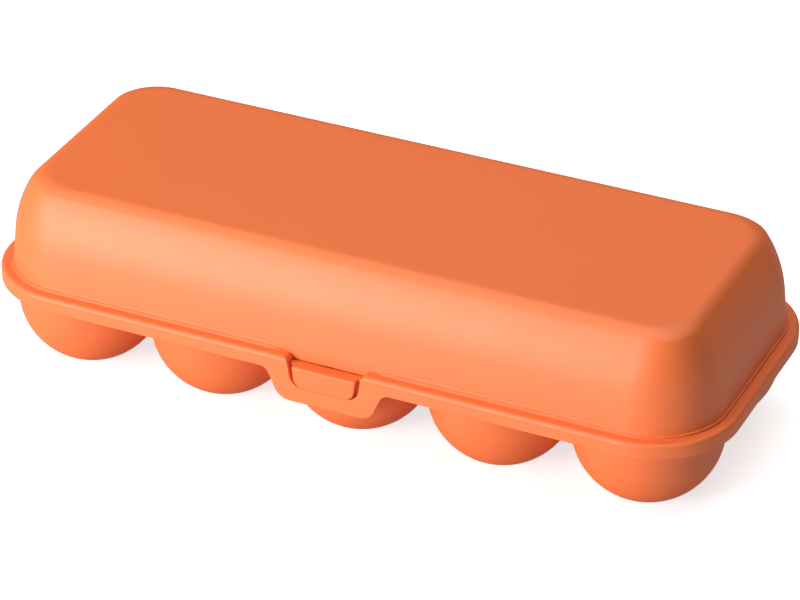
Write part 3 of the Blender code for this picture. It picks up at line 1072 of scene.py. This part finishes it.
    def wall_path(self, thickness: float) -> np.ndarray:
        """Wall from its lean at the foot to the flat top, moved inwards by a thickness.

        The wall leans in a little, curves along one large arc to the shoulder's lean and turns into the
        top along a small arc: inset r * (1 - cos a) and height r * sin a, for a radius r and an angle a from
        upright. The corner radius shrinks in step with the inset, from the foot to the top.

        Args:
            thickness: Distance from the outer surface.

        Returns:
            Rows of (inset, height, corner radius).
        """
        size, lean = self.sizes, self.lean
        start_z = self.step_z + self.straight_height
        rise = size.lid_top_z - start_z - self.top_edge_radius * (1 - math.sin(lean))
        crown = rise / math.sin(lean)
        turn = np.linspace(self.foot_lean, lean, self.wall_rings + 1)
        inset = size.flange_width + crown * (1 - np.cos(turn))
        height = start_z + crown * np.sin(turn)
        edge_turn = np.linspace(lean, math.pi / 2, self.edge_rings + 1)[1:]
        edge_inset = inset[-1] + self.top_edge_radius * (math.cos(lean) - np.cos(edge_turn))
        edge_height = height[-1] + self.top_edge_radius * (np.sin(edge_turn) - math.sin(lean))
        foot_radius = size.rim_corner_radius - size.flange_width
        share = np.clip((np.append(inset, edge_inset) - inset[0]) / (inset[-1] - inset[0]), 0.0, 1.0)
        radius = foot_radius + (self.top_corner_radius - foot_radius) * share
        turn = np.append(turn, edge_turn)
        move = thickness * np.cos(turn)
        path = np.column_stack(
            (
                np.append(inset, edge_inset) + move,
                np.append(height, edge_height) - thickness * np.sin(turn),
                radius - move,
            )
        )
        flat = path[-1] + np.array([self.top_flat_margin, 0.0, -self.top_flat_margin])
        return np.vstack((path, flat))

    def wall_inset(self, z: float) -> float:
        """Inset of the leaning wall's outer face at a height near its foot."""
        inset, height, _ = self.wall_path(0.0)[0]
        return float(inset - (height - z) * math.tan(self.foot_lean))

    def rim_path(self) -> np.ndarray:
        """Flange and skirt, from the wall's inside foot round the skirt and up over the small outer step.

        Returns:
            Rows of (inset, height, corner radius).
        """
        size = self.sizes
        thick, edge = size.skirt_thickness, self.skirt_edge_radius
        bottom, top, under = size.skirt_bottom_z, size.flange_top_z, size.flange_bottom_z
        inside = size.flange_width + size.lid_wall
        step, step_z, foot = self.foot_step_inset, self.step_z, self.foot_inset
        heights = np.linspace(step_z, self.wall_path(0.0)[0, 1], self.foot_rings + 2)[1:-1]
        rise = [[self.wall_inset(z), z] for z in (step_z + self.foot_crease, *heights)]
        corners = (
            (inside, step_z + self.inside_overlap, 0.0),
            (inside, under, self.inside_fillets[0]),
            (thick, under, self.inside_fillets[1]),
            (thick, bottom, edge),
            (0.0, bottom, edge),
            (0.0, top, self.flange_edge_radius),
            (step, top, self.foot_fillet),
            (step, step_z, self.foot_fillet),
            (foot, step_z, 0.0),
        )
        path = np.vstack((rounded_path(corners, self.fillet_steps), rise))
        return np.column_stack((path, size.rim_corner_radius - path[:, 0]))

    def shell(self) -> Surface:
        """Loft the whole moulding: down the inside, round the skirt and up the outside.

        Returns:
            The closed surface, before the openings are cut.
        """
        inner, outer = self.wall_path(self.sizes.lid_wall)[::-1], self.wall_path(0.0)
        surface = Surface()
        surface.add_capped(self.rings(np.vstack((inner, self.rim_path(), outer))))
        return surface

    def window_cutter(self) -> Surface:
        """Prism that opens the latch window and the notch above it, with flared lead-in ends.

        Its back stops a hair in front of the wall's foot.

        Returns:
            The prism's surface.
        """
        size = self.sizes
        half, lead = size.window_half_width, self.window_lead_radius
        lead_z = size.flange_top_z - lead * self.window_lead_share
        lead_x = size.leaning_side(half, lead_z) + lead / math.cos(size.catch_side_lean)
        start = 180 - math.degrees(size.catch_side_lean)
        right = np.vstack(
            (
                size.leaning_corner(half, self.window_bottom_z, self.window_corner_radius),
                arc((lead_x, lead_z), lead, start, 90, self.window_lead_sites),
                [[lead_x, size.flange_top_z + size.overrun]],
            )
        )
        front = -(size.half_depth + size.overrun)
        back = -(size.half_depth - self.foot_inset + self.notch_cover)
        return plate(mirrored(right), Axis.Y, front, back)

    def hinge_cutter(self, side: int) -> Surface:
        """Box that lets one tray hook through the flange and the skirt.

        Args:
            side: -1 for the left hinge, 1 for the right one.

        Returns:
            The box's surface.
        """
        size = self.sizes
        near = size.half_depth - size.skirt_thickness - size.fuse_depth
        far = size.half_depth + size.overrun
        low = size.skirt_bottom_z - size.overrun
        high = size.flange_top_z + size.overrun
        outline = np.array([[near, low], [far, low], [far, high], [near, high]])
        x, half = side * size.hinge_x, size.hinge_gap_half
        return plate(outline, Axis.X, x - half, x + half)

    def build(self, material: bpy.types.Material) -> None:
        """Cut the openings, round their rims and dress the moulding.

        Args:
            material: The lid's plastic.
        """
        size = self.sizes
        lid = self.shell().to_object("lid_moulding", size.shift)
        cutters = [self.window_cutter(), self.hinge_cutter(-1), self.hinge_cutter(1)]
        carve(lid, [cutter.to_object(f"cutter_{k}", size.shift) for k, cutter in enumerate(cutters)])
        weld(lid, 2 * self.notch_cover, self.clear_to)
        round_rims(lid, self.window_rim_radius, self.on_step)
        even_normals(lid)
        dress(lid, material)
        front_y = -size.half_depth + size.shift[1]
        bend_z = size.skirt_bottom_z - self.flap_bend_drop
        end = (0.0, front_y, bend_z - self.flap_bend_length)
        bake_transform(lid)
        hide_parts("lid", "latch_flap")


@dataclass
class HingePair:
    """Both hinges: open hooks on the tray, and ears with a pin on the lid."""

    sizes: BoxSizes
    ear_radius: float = 0.0028
    ear_thickness: float = 0.0025
    mouth: float = 0.0027
    mouth_degrees: float = 110.0
    arm_degrees: float = 210.0
    gusset_degrees: float = 100.0
    ring_sites: int = 28
    bore_sites: int = 40
    lip_sites: int = 8
    eye_sites: int = 32
    pin_sides: int = 48
    rim_radius: float = 0.0003

    @property
    def centre(self) -> tuple[float, float]:
        """Hinge axis in the plane across the box."""
        return self.sizes.hinge_y, self.sizes.hinge_z

    def hook(self, side: int) -> Surface:
        """Open hook of the tray: deck arm, ring and snap mouth.

        Args:
            side: -1 for the left hinge, 1 for the right one.

        Returns:
            The hook's surface.
        """
        size = self.sizes
        outer = size.hinge_hook_radius
        bore = size.hinge_pin_radius + size.seat_gap
        gap = math.degrees(math.asin(self.mouth / 2 / bore))
        gap_outer = math.degrees(math.asin(self.mouth / 2 / outer))
        middle = self.mouth_degrees
        root = size.deck_back_y - size.fuse_depth
        top_z = size.hinge_z + outer * math.sin(math.radians(self.arm_degrees))
        outline = np.vstack(
            (
                arc(self.centre, outer, -90, middle - gap_outer, self.ring_sites),
                arc(self.centre, bore, middle - gap, middle + gap - 360, self.bore_sites),
                arc(self.centre, outer, middle + gap_outer, self.arm_degrees, self.lip_sites),
                [[root, top_z], [root, size.hinge_z - outer]],
            )
        )
        half = size.hinge_hook_width / 2
        x = side * size.hinge_x
        return plate(outline, Axis.X, x - half, x + half, self.rim_radius)

    def ear(self, low: float) -> Surface:
        """Ear of the lid: an eye round the axis with a gusset rooted in the flange and the skirt.

        Args:
            low: Lower end of the ear along X.

        Returns:
            The ear's surface.
        """
        size = self.sizes
        root = size.half_depth - size.skirt_thickness / 2
        gusset = size.half_depth - size.flange_width / 2
        middle_z = size.flange_top_z - size.flange_thickness / 2
        eye = arc(self.centre, self.ear_radius, -90, self.gusset_degrees, self.eye_sites)
        outline = np.vstack((eye, [[gusset, middle_z], [root, middle_z], [root, eye[0, 1]]]))
        return plate(outline, Axis.X, low, low + self.ear_thickness, self.rim_radius)

    def pin(self, side: int) -> Surface:
        """Pin between two ears, along the axis.

        Args:
            side: -1 for the left hinge, 1 for the right one.

        Returns:
            The pin's surface.
        """
        size = self.sizes
        outline = arc(self.centre, size.hinge_pin_radius, 0, 360 - 360 / self.pin_sides, self.pin_sides)
        x, half = side * size.hinge_x, size.hinge_gap_half
        return plate(outline, Axis.X, x - half, x + half)

    def build(self, finishes: Finishes) -> None:
        """Make the hooks, the ears and the pins, and let them ride on the tray and the lid.

        Args:
            finishes: The box's plastics.
        """
        size = self.sizes
        inner = size.hinge_hook_width / 2 + size.seat_gap
        for side, word in ((-1, "left"), (1, "right")):
            x = side * size.hinge_x
            hook = self.hook(side).to_object(f"{word}_tray_hook", size.shift)
            ears = {"a": x + inner, "b": x - inner - self.ear_thickness}
            lid = [self.ear(low).to_object(f"{word}_lid_ear_{key}", size.shift) for key, low in ears.items()]
            lid.append(self.pin(side).to_object(f"{word}_lid_pin", size.shift))
            for item in (hook, *lid):
                item.data.set_sharp_from_angle(angle=CREASE_ANGLE)
            dress(hook, finishes.tray)
            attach(hook, Body.TRAY.value)
            for item in lid:
                dress(item, finishes.lid)
                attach(item, Body.LID.value)


@dataclass
class Catch:
    """Catch on the tray's front edge: the tab that fills the latch window, and the rib behind it."""

    sizes: BoxSizes
    corner_radius: float = 0.0034
    edge_radius: float = 0.0007
    rim_radius: float = 0.0003
    root: float = 0.0008
    backing_thickness: float = 0.0028
    backing_overlap: float = 0.0038
    backing_drop: float = 0.0014
    backing_corner_radius: float = 0.003
    backing_rim_radius: float = 0.0003
    edge_sites: int = 10
    cover: float = 0.00003

    def tab(self) -> bpy.types.Object:
        """Tab whose top runs flat over the deck's edge and turns into the front along a wide round.

        It is what a plate seen from the front and a plate seen from the side have in common.

        Returns:
            The tab.
        """
        size = self.sizes
        half, top = size.catch_width / 2, size.deck_top_z + self.cover
        corner = size.leaning_corner(half, size.catch_bottom_z, self.corner_radius)
        front, back = size.catch_front_y, -(size.half_depth - size.deck_inset - self.root)
        low, reach, wide = size.catch_bottom_z - size.overrun, back + size.overrun, self.edge_radius
        turn = arc((front + wide, top - wide), wide, 90, 180, self.edge_sites)
        profile = np.vstack(([[front, low], [reach, low], [reach, top]], turn))
        tab = plate(mirrored(np.vstack((corner, [[half, top + wide]]))), Axis.Y, front, back)
        item = tab.to_object("catch_tab", size.shift)
        keeper = plate(profile, Axis.X, -2 * half, 2 * half).to_object("round", size.shift)
        carve(item, [keeper], Cut.INSIDE)
        round_rims(item, self.rim_radius)
        return item

    def backing(self) -> bpy.types.Object:
        """Rib under the deck's front edge that closes the window from behind.

        Returns:
            The rib.
        """
        size = self.sizes
        half, low = size.window_half_width + self.backing_overlap, self.backing_corner_radius
        bottom = size.catch_bottom_z - self.backing_drop
        corner = arc((half - low, bottom + low), low, 270, 360, size.catch_corner_sites)
        outline = mirrored(np.vstack((corner, [[half, size.deck_top_z - size.deck_thickness / 2]])))
        front = -(size.half_depth - size.deck_inset)
        back = front + self.backing_thickness
        rib = plate(outline, Axis.Y, front, back, self.backing_rim_radius, RIM_SEGMENTS)
        return rib.to_object("catch_backing", size.shift)

    def build(self, material: bpy.types.Material) -> None:
        """Make the pieces and let them ride on the tray.

        Args:
            material: The tray's plastic.
        """
        for item in (self.tab(), self.backing()):
            even_normals(item)
            dress(item, material)
            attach(item, Body.TRAY.value)


class CupPlace(NamedTuple):
    """Centre of a cup, whether it has neighbours left and right, and the side of its partner along Y."""

    x: float
    y: float
    left: bool
    right: bool
    partner: int


@dataclass
class CupTray:
    """Deck with ten hollow cups."""

    sizes: BoxSizes
    quarter_steps: int = 14
    bowl_bands: int = 22
    neck_bands: int = 4
    lip_steps: int = 5
    edge_steps: int = 4
    corner_sites: int = 25
    floor_shares: tuple[float, float] = (0.5, 0.94)
    least_cosine: float = 1e-6

    def angles(self) -> np.ndarray:
        """Angles round a cup, with lines exactly where neighbouring necks part.

        Returns:
            Angles in radians, from nought to just before a full turn.
        """
        size = self.sizes
        part = math.acos(size.pitch / 2 / (size.cup_radius + size.cup_neck_flare))
        low = np.array([0.0, part / 2])
        middle = np.linspace(part, math.pi / 2 - part, self.quarter_steps + 1)
        quarter = np.concatenate((low, middle, [math.pi / 2 - part / 2]))
        return np.concatenate([quarter + k * math.pi / 2 for k in range(4)])

    def bowl(self, radius: float, floor_z: float) -> np.ndarray:
        """Sphere meridian from the flat floor up to the widest level.

        Args:
            radius: Radius of the sphere.
            floor_z: Height of the floor.

        Returns:
            Rows of (radius, height).
        """
        centre = self.sizes.cup_centre_z
        lowest = math.degrees(math.asin((floor_z - centre) / radius))
        meridian = arc((0.0, centre), radius, lowest, 0.0, self.bowl_bands + 1)
        floor = [[meridian[0, 0] * share, floor_z] for share in self.floor_shares]
        return np.vstack((floor, meridian))

    def outside(self) -> np.ndarray:
        """Outer profile of a cup, from its foot to the deck's underside.

        Returns:
            Rows of (radius, height).
        """
        size = self.sizes
        bowl = self.bowl(size.cup_radius, 0.0)
        share = np.linspace(0.0, 1.0, self.neck_bands + 1)[1:]
        neck = np.column_stack(
            (
                size.cup_radius + size.cup_neck_flare * share,
                size.cup_centre_z + (size.deck_bottom_z - size.cup_centre_z) * share,
            )
        )
        return np.vstack((bowl, neck))

    def inside(self) -> np.ndarray:
        """Inner profile of a cup, from its floor over the round lip to the deck's top.

        Returns:
            Rows of (radius, height).
        """
        size = self.sizes
        mouth = size.cup_radius + size.cup_neck_flare - size.cup_wall
        lip = size.cup_lip_radius
        bowl = self.bowl(size.cup_radius - size.cup_wall, size.cup_wall)
        over = arc((mouth + lip, size.deck_top_z - lip), lip, 180, 90, self.lip_steps + 1)
        return np.vstack((bowl, over))

    def cup_places(self) -> list[CupPlace]:
        """Places of all cups, row by row.

        Returns:
            One place for each cup.
        """
        size = self.sizes
        places = []
        for row in range(size.cups_across):
            for column in range(size.cups_along):
                x = (column - (size.cups_along - 1) / 2) * size.pitch
                y = (row - (size.cups_across - 1) / 2) * size.pitch
                places.append(CupPlace(x, y, column > 0, column < size.cups_along - 1, 1 if row == 0 else -1))
        return places

    def reach(self, place: CupPlace) -> np.ndarray:
        """Distance from a cup's axis to the planes half way to its neighbours: half the pitch / cosine.

        Args:
            place: The cup.

        Returns:
            The nearest plane's distance for each angle, or infinity.
        """
        angle = self.angles()
        cosines = [place.partner * np.sin(angle)]
        if place.left:
            cosines.append(-np.cos(angle))
        if place.right:
            cosines.append(np.cos(angle))
        along = np.max(cosines, axis=0)
        distance = self.sizes.pitch / 2 / np.maximum(along, self.least_cosine)
        return np.where(along > self.least_cosine, distance, np.inf)

    def add_cup(self, surface: Surface, place: CupPlace) -> np.ndarray:
        """Add one cup's outer and inner surface.

        Each is a profile of (radius, height) turned about the cup's axis. The outer one stops at the
        planes half way to its neighbours, where their necks run together.

        Args:
            surface: Surface that the cup is added to.
            place: Centre and neighbours of the cup.

        Returns:
            The points where the outer surface meets the deck's underside, two columns.
        """
        angle = self.angles()
        direction = np.column_stack((np.cos(angle), np.sin(angle)))
        centre = np.array([place.x, place.y])
        profile, inside = self.outside(), self.inside()
        limit = self.reach(place)
        radius = np.minimum(profile[:, :1], limit[None])
        height = np.where(
            profile[:, :1] > limit[None], np.interp(radius, profile[:, 0], profile[:, 1]), profile[:, 1:]
        )
        for rings, levels in ((radius, height), (inside[:, :1], inside[:, 1:])):
            level = np.broadcast_to(levels[..., None], (len(levels), len(angle), 1))
            flat = rings[..., None] * direction + centre
            numbers = surface.add_rings(np.concatenate((flat, level), axis=-1))
            surface.add_cap(numbers[0])
        free = limit >= profile[-1, 0] - WELD
        return direction * np.where(free, profile[-1, 0], np.nan)[:, None] + centre

    def deck_outline(self, inset: float) -> np.ndarray:
        """Rounded rectangle of the deck, as four corner arcs.

        Args:
            inset: How far it has moved in from the deck's edge.

        Returns:
            Points counter-clockwise, two columns.
        """
        size = self.sizes
        radius = size.rim_corner_radius - size.deck_inset - inset
        right = size.half_length - size.deck_inset - inset - radius
        far = size.deck_back_y - inset - radius
        near = radius - (size.half_depth - size.deck_inset - inset)
        centres = ((right, far), (-right, far), (-right, near), (right, near))
        arcs = [
            arc(centre, radius, 90 * quarter, 90 * quarter + 90, self.corner_sites)
            for quarter, centre in enumerate(centres)
        ]
        return np.vstack(arcs)

    def underside_loops(self, rims: list[np.ndarray]) -> list[np.ndarray]:
        """Join the cups' free rims into closed loops: one round all the cups and one in each gap of four.

        Args:
            rims: Points of each cup at the deck's underside, with gaps where a neighbour's neck joins.

        Returns:
            Closed loops, the outer one first.
        """
        chains: list[np.ndarray] = []
        for rim in rims:
            first_gap = int(np.argmax(np.isnan(rim[:, 0])))
            turned = np.roll(rim, -first_gap, axis=0)
            cuts = np.flatnonzero(np.diff(np.isnan(turned[:, 0]))) + 1
            chains += [run for run in np.split(turned, cuts) if not np.isnan(run[0, 0])]
        loops = []
        while chains:
            loop = chains.pop(0)
            while np.linalg.norm(loop[0] - loop[-1]) > WELD:
                gaps = [np.linalg.norm(chain[0] - loop[-1]) for chain in chains]
                loop = np.vstack((loop, chains.pop(int(np.argmin(gaps)))[1:]))
            loops.append(loop[:-1])
        return sorted(loops, key=len, reverse=True)

    def build(self, material: bpy.types.Material) -> None:
        """Make the cups, the deck's edge and both its faces, and let the tray ride on the base.

        Args:
            material: The tray's plastic.
        """
        size = self.sizes
        surface = Surface()
        rims = [self.add_cup(surface, place) for place in self.cup_places()]
        edge = size.deck_edge_radius
        inset, rise = quarter_round(edge, self.edge_steps)
        insets = np.concatenate((inset[::-1], inset))
        levels = np.concatenate((size.deck_bottom_z + edge - rise[::-1], size.deck_top_z - edge + rise))
        rings = np.stack([self.deck_outline(value) for value in insets])
        heights = np.broadcast_to(levels[:, None, None], (*rings.shape[:2], 1))
        surface.add_rings(np.concatenate((rings, heights), axis=-1))
        around, *gaps = self.underside_loops(rims)
        surface.add_flat([rings[0], around], size.deck_bottom_z)
        for gap in gaps:
            surface.add_flat([gap], size.deck_bottom_z)
        angle = self.angles()
        mouth = self.inside()[-1, 0] * np.column_stack((np.cos(angle), np.sin(angle)))
        holes = [mouth + np.array(place[:2]) for place in self.cup_places()]
        surface.add_flat([rings[-1], *holes], size.deck_top_z)
        item = surface.to_object("cup_tray", size.shift)
        even_normals(item)
        dress(item, material)
        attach(item, Body.TRAY.value)
        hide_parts("base_tray")


@dataclass(frozen=True)
class SoftBox:
    """Rectangular soft light that faces the box."""

    name: str
    azimuth: float
    elevation: float
    distance: float
    width: float
    height: float
    radiance: float

    def build(self, target: Vector) -> None:
        """Hang the light on a sphere round the target, looking at it.

        Its power is its radiance times its area times pi.

        Args:
            target: Point that the light looks at.
        """
        out = towards(self.azimuth, self.elevation)
        lamp = bpy.data.lights.new(self.name, "AREA")
        lamp.shape = "RECTANGLE"
        lamp.size = self.width
        lamp.size_y = self.height
        lamp.energy = self.radiance * self.width * self.height * math.pi
        item = linked(self.name, lamp)
        item.location = target + out * self.distance
        item.rotation_euler = out.to_track_quat("Z", "Y").to_euler()


@dataclass(frozen=True)
class Studio:
    """Pale floor, soft lights, and a background that the camera sees white."""

    floor_half_width: float = 3.0
    floor_tone: tuple[float, float, float] = (0.74, 0.78, 0.80)
    floor_roughness: float = 0.9
    floor_gloss: float = 0.1
    floor_glow: float = 0.72
    ambient: float = 0.03
    aim: tuple[float, float, float] = (0.0, 0.0, 0.035)
    lights: tuple[SoftBox, ...] = (
        SoftBox("low_left_softbox", -28.0, 8.0, 1.4, 0.5, 0.6, 16.8),
        SoftBox("high_left_softbox", -34.0, 20.0, 1.4, 0.75, 0.6, 5.7),
        SoftBox("side_left_softbox", -100.0, 32.0, 1.4, 0.75, 0.6, 2.1),
        SoftBox("overhead_softbox", 0.0, 88.0, 1.8, 1.8, 1.8, 2.25),
        SoftBox("back_softbox", 180.0, 50.0, 1.6, 1.6, 1.2, 0.5),
    )

    def floor(self) -> None:
        """Lay the floor: plain pale paper that glows a little for the camera only."""
        half = self.floor_half_width
        corners = [(-half, -half, 0.0), (half, -half, 0.0), (half, half, 0.0), (-half, half, 0.0)]
        mesh = bpy.data.meshes.new("studio_floor")
        mesh.from_pydata(corners, [], [(0, 1, 2, 3)])
        paper = FinishTree("pale_paper")
        finish = paper.shade(
            Base_Color=(*self.floor_tone, 1.0),
            Roughness=self.floor_roughness,
            Specular_IOR_Level=self.floor_gloss,
            Emission_Color=WHITE,
            Emission_Strength=self.floor_glow * paper.background_rays(),
        )
        mesh.materials.append(finish)
        linked("studio_floor", mesh)

    def world(self) -> None:
        """Even light from all round, white where the camera looks past the floor."""
        world = bpy.data.worlds.new("studio_light")
        bpy.context.scene.world = world
        world.use_nodes = True
        tree = NodeTree(world.node_tree)
        strength = self.ambient + (1.0 - self.ambient) * tree.background_rays()
        tree.fill(world.node_tree.nodes["Background"], {"Color": WHITE, "Strength": strength})

    def build(self) -> None:
        """Set up the floor, the world and the lights."""
        self.floor()
        self.world()
        for light in self.lights:
            light.build(Vector(self.aim))


@dataclass(frozen=True)
class PictureCamera:
    """Camera at the picture's viewing angle."""

    place: tuple[float, float, float] = (0.457946, -0.984344, 0.68869)
    azimuth: float = 24.92235
    elevation: float = 31.2648
    focal_pixels: float = 3770.911
    image_width: float = 800.0
    sensor: float = 36.0
    nearest: float = 0.05
    farthest: float = 20.0

    def build(self) -> None:
        """Place the camera and make it the scene's own."""
        lens = bpy.data.cameras.new("picture_camera")
        lens.sensor_width = self.sensor
        lens.lens = self.focal_pixels * self.sensor / self.image_width
        lens.clip_start = self.nearest
        lens.clip_end = self.farthest
        item = linked("picture_camera", lens)
        item.location = self.place
        item.rotation_euler = towards(self.azimuth, self.elevation).to_track_quat("Z", "Y").to_euler()
        bpy.context.scene.camera = item


def main() -> None:
    """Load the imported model, dress it, light it and set the camera."""
    logging.basicConfig(level=logging.INFO, format="%(name)s %(message)s")
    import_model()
    sizes = BoxSizes()
    finishes = Finishes.mixed()
    CupTray(sizes).build(finishes.tray)
    Catch(sizes).build(finishes.tray)
    LidMoulding(sizes).build(finishes.lid)
    HingePair(sizes).build(finishes)
    PictureCamera().build()
    Studio().build()
    bpy.context.scene.view_settings.view_transform = "Standard"


if __name__ == "__main__":
    main()
